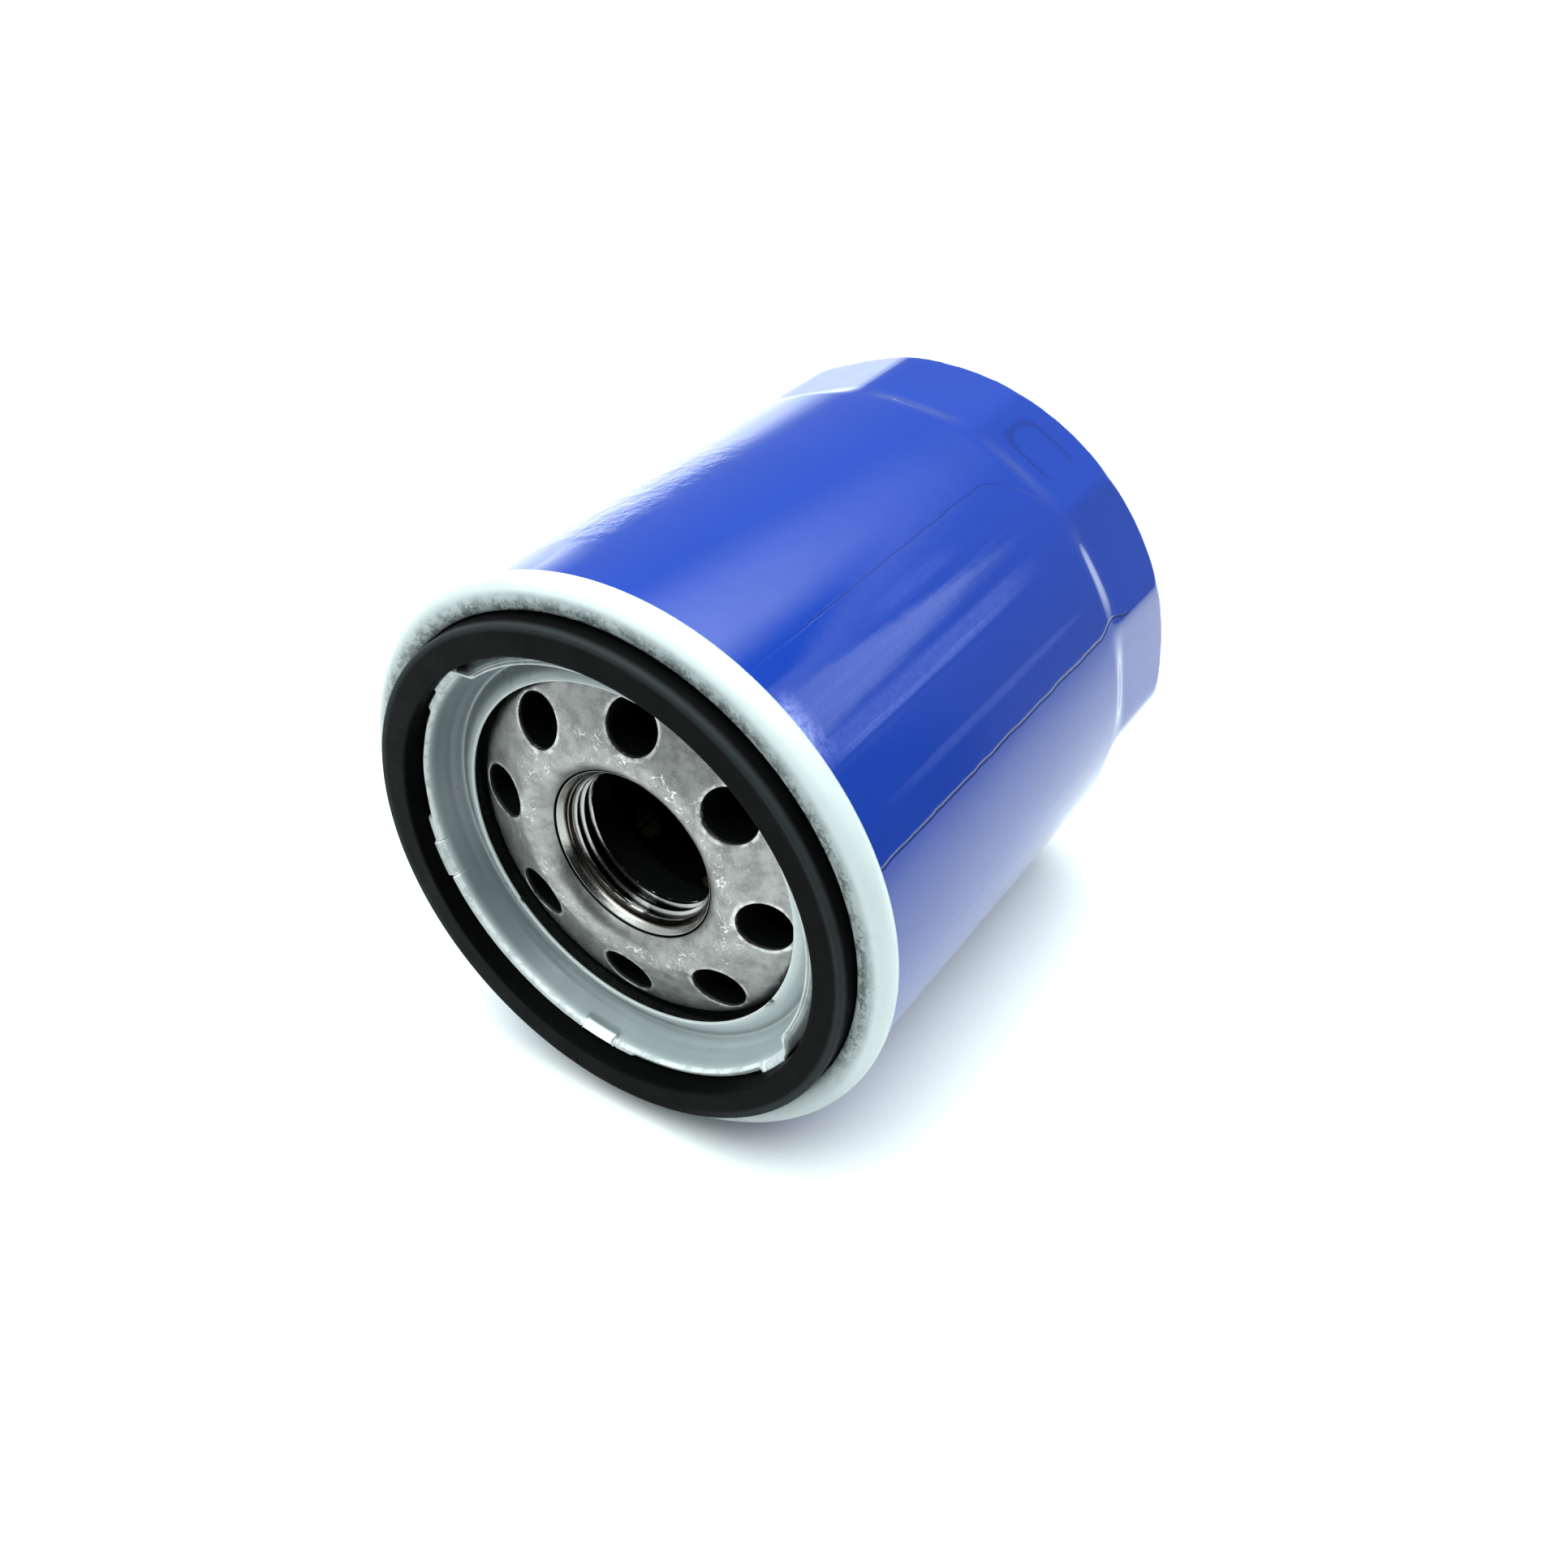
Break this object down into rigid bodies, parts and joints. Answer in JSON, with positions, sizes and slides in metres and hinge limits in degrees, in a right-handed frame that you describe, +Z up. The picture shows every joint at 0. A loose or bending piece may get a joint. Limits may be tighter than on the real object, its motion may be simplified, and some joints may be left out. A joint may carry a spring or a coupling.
{
  "type": "spin-on oil filter",
  "caption": "Short spin-on oil filter: painted can with wrench flats, rolled seam, rubber gasket, threaded base plate and a pleated element with valves inside.",
  "frame": {"origin": "on the filter's axis, where the thread in the base plate begins", "axes": "+Y along the axis from the gasket towards the closed end, +Z up as the filter lies on its side, +X across"},
  "size_m": [0.0696, 0.076, 0.0696],
  "materials": {
    "blue_paint": "gloss",
    "grey_primer": "satin",
    "sealant": "matt",
    "plate_steel": "satin",
    "gasket_rubber": "satin",
    "valve_rubber": "matt",
    "plated_steel": "satin",
    "spring_steel": "gloss",
    "adhesive": "satin",
    "filter_paper": "matt"
  },
  "bodies": {
    "filter": {"housing_can": "blue_paint", "seaming_lid": "grey_primer", "seam_sealant": "sealant", "base_plate": "plate_steel", "sealing_gasket": "gasket_rubber", "drainback_collar": "valve_rubber", "outlet_end_cap": "plated_steel", "outlet_cap_adhesive": "adhesive", "pleated_media": "filter_paper", "media_seam_clip": "plated_steel", "centre_tube": "plated_steel", "inner_end_cap": "plated_steel", "inner_cap_adhesive": "adhesive", "bypass_cage": "plated_steel", "bypass_seal": "valve_rubber", "bypass_spring": "spring_steel", "element_spring": "spring_steel", "spring_seat": "plated_steel"},
    "flap": {"drainback_flap": "valve_rubber"},
    "poppet": {"bypass_poppet": "plated_steel"}
  },
  "joints": [
    {"name": "drainback_open", "type": "slide", "parent": "filter", "child": "flap", "axis": [0, 1, 0], "range_m": [0, 0.0012], "stiffness_N_per_m": 200, "springref_m": -0.0006},
    {"name": "bypass_open", "type": "slide", "parent": "filter", "child": "poppet", "axis": [0, -1, 0], "range_m": [0, 0.0035], "stiffness_N_per_m": 2000, "springref_m": -0.0077, "deforming": ["bypass_spring"]}
  ]
}
